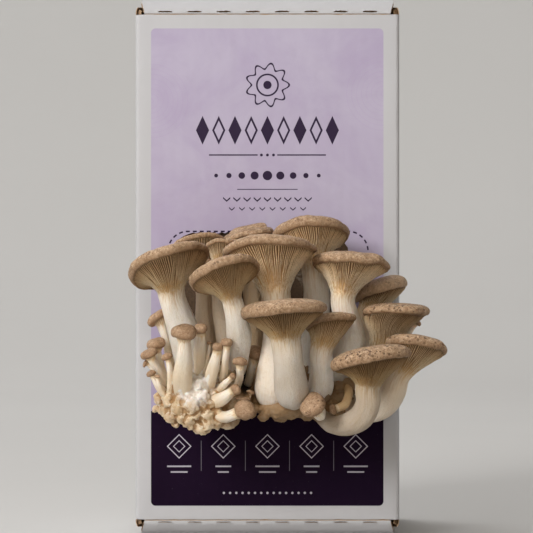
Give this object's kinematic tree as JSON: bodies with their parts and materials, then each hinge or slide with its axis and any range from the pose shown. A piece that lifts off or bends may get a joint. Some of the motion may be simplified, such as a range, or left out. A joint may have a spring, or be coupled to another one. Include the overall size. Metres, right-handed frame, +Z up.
{
  "type": "mushroom grow kit",
  "caption": "Upright printed carton with a cut window, from which a clump of king oyster mushrooms grows on a lumpy foot; its top flap hinges open.",
  "frame": {"origin": "middle of the flat of the bottom flap that the carton stands on", "axes": "+Z up; -Y out of the printed front, towards the viewer; +X to the right as the front is seen"},
  "size_m": [0.1613, 0.2174, 0.288],
  "materials": {
    "board": "matte",
    "substrate": "matte",
    "cap_skin": "matte",
    "stem_flesh": "matte",
    "young_flesh": "matte"
  },
  "bodies": {
    "carton": {"carton_walls": "board", "bottom_flap": "board", "dust_flap_top_left": "board", "dust_flap_top_right": "board", "dust_flap_bottom_left": "board", "dust_flap_bottom_right": "board", "substrate_block": "substrate", "mushroom_01_cap": "cap_skin", "mushroom_02_cap": "cap_skin", "mushroom_03_cap": "cap_skin", "mushroom_04_cap": "cap_skin", "mushroom_05_cap": "cap_skin", "mushroom_06_cap": "cap_skin", "mushroom_07_cap": "cap_skin", "mushroom_08_cap": "cap_skin", "mushroom_09_cap": "cap_skin", "mushroom_10_cap": "cap_skin", "mushroom_11_cap": "cap_skin", "mushroom_12_cap": "cap_skin", "mushroom_13_cap": "cap_skin", "mushroom_14_cap": "cap_skin", "mushroom_15_cap": "cap_skin", "mushroom_01_stem": "stem_flesh", "mushroom_02_stem": "stem_flesh", "mushroom_03_stem": "stem_flesh", "mushroom_04_stem": "stem_flesh", "mushroom_05_stem": "stem_flesh", "mushroom_06_stem": "stem_flesh", "mushroom_07_stem": "stem_flesh", "mushroom_08_stem": "stem_flesh", "mushroom_09_stem": "stem_flesh", "mushroom_10_stem": "stem_flesh", "mushroom_11_stem": "stem_flesh", "mushroom_12_stem": "stem_flesh", "mushroom_13_stem": "stem_flesh", "mushroom_14_stem": "stem_flesh", "mushroom_15_stem": "stem_flesh", "stem_base": "young_flesh", "small_mushroom_01": "young_flesh", "small_mushroom_02": "young_flesh", "small_mushroom_03": "young_flesh", "small_mushroom_04": "young_flesh", "small_mushroom_05": "young_flesh", "small_mushroom_06": "young_flesh", "small_mushroom_07": "young_flesh", "small_mushroom_08": "young_flesh", "small_mushroom_09": "young_flesh", "small_mushroom_10": "young_flesh", "small_mushroom_11": "young_flesh", "small_mushroom_12": "young_flesh", "small_mushroom_13": "young_flesh", "small_mushroom_14": "young_flesh", "small_mushroom_15": "young_flesh", "small_mushroom_16": "young_flesh"},
    "top_flap": {"top_flap": "board"}
  },
  "joints": [
    {"name": "top_flap_hinge", "type": "hinge", "parent": "carton", "child": "top_flap", "pos_m": [0, -0.055, 0.278], "axis": [1, 0, 0], "range_deg": [0, 175]}
  ]
}
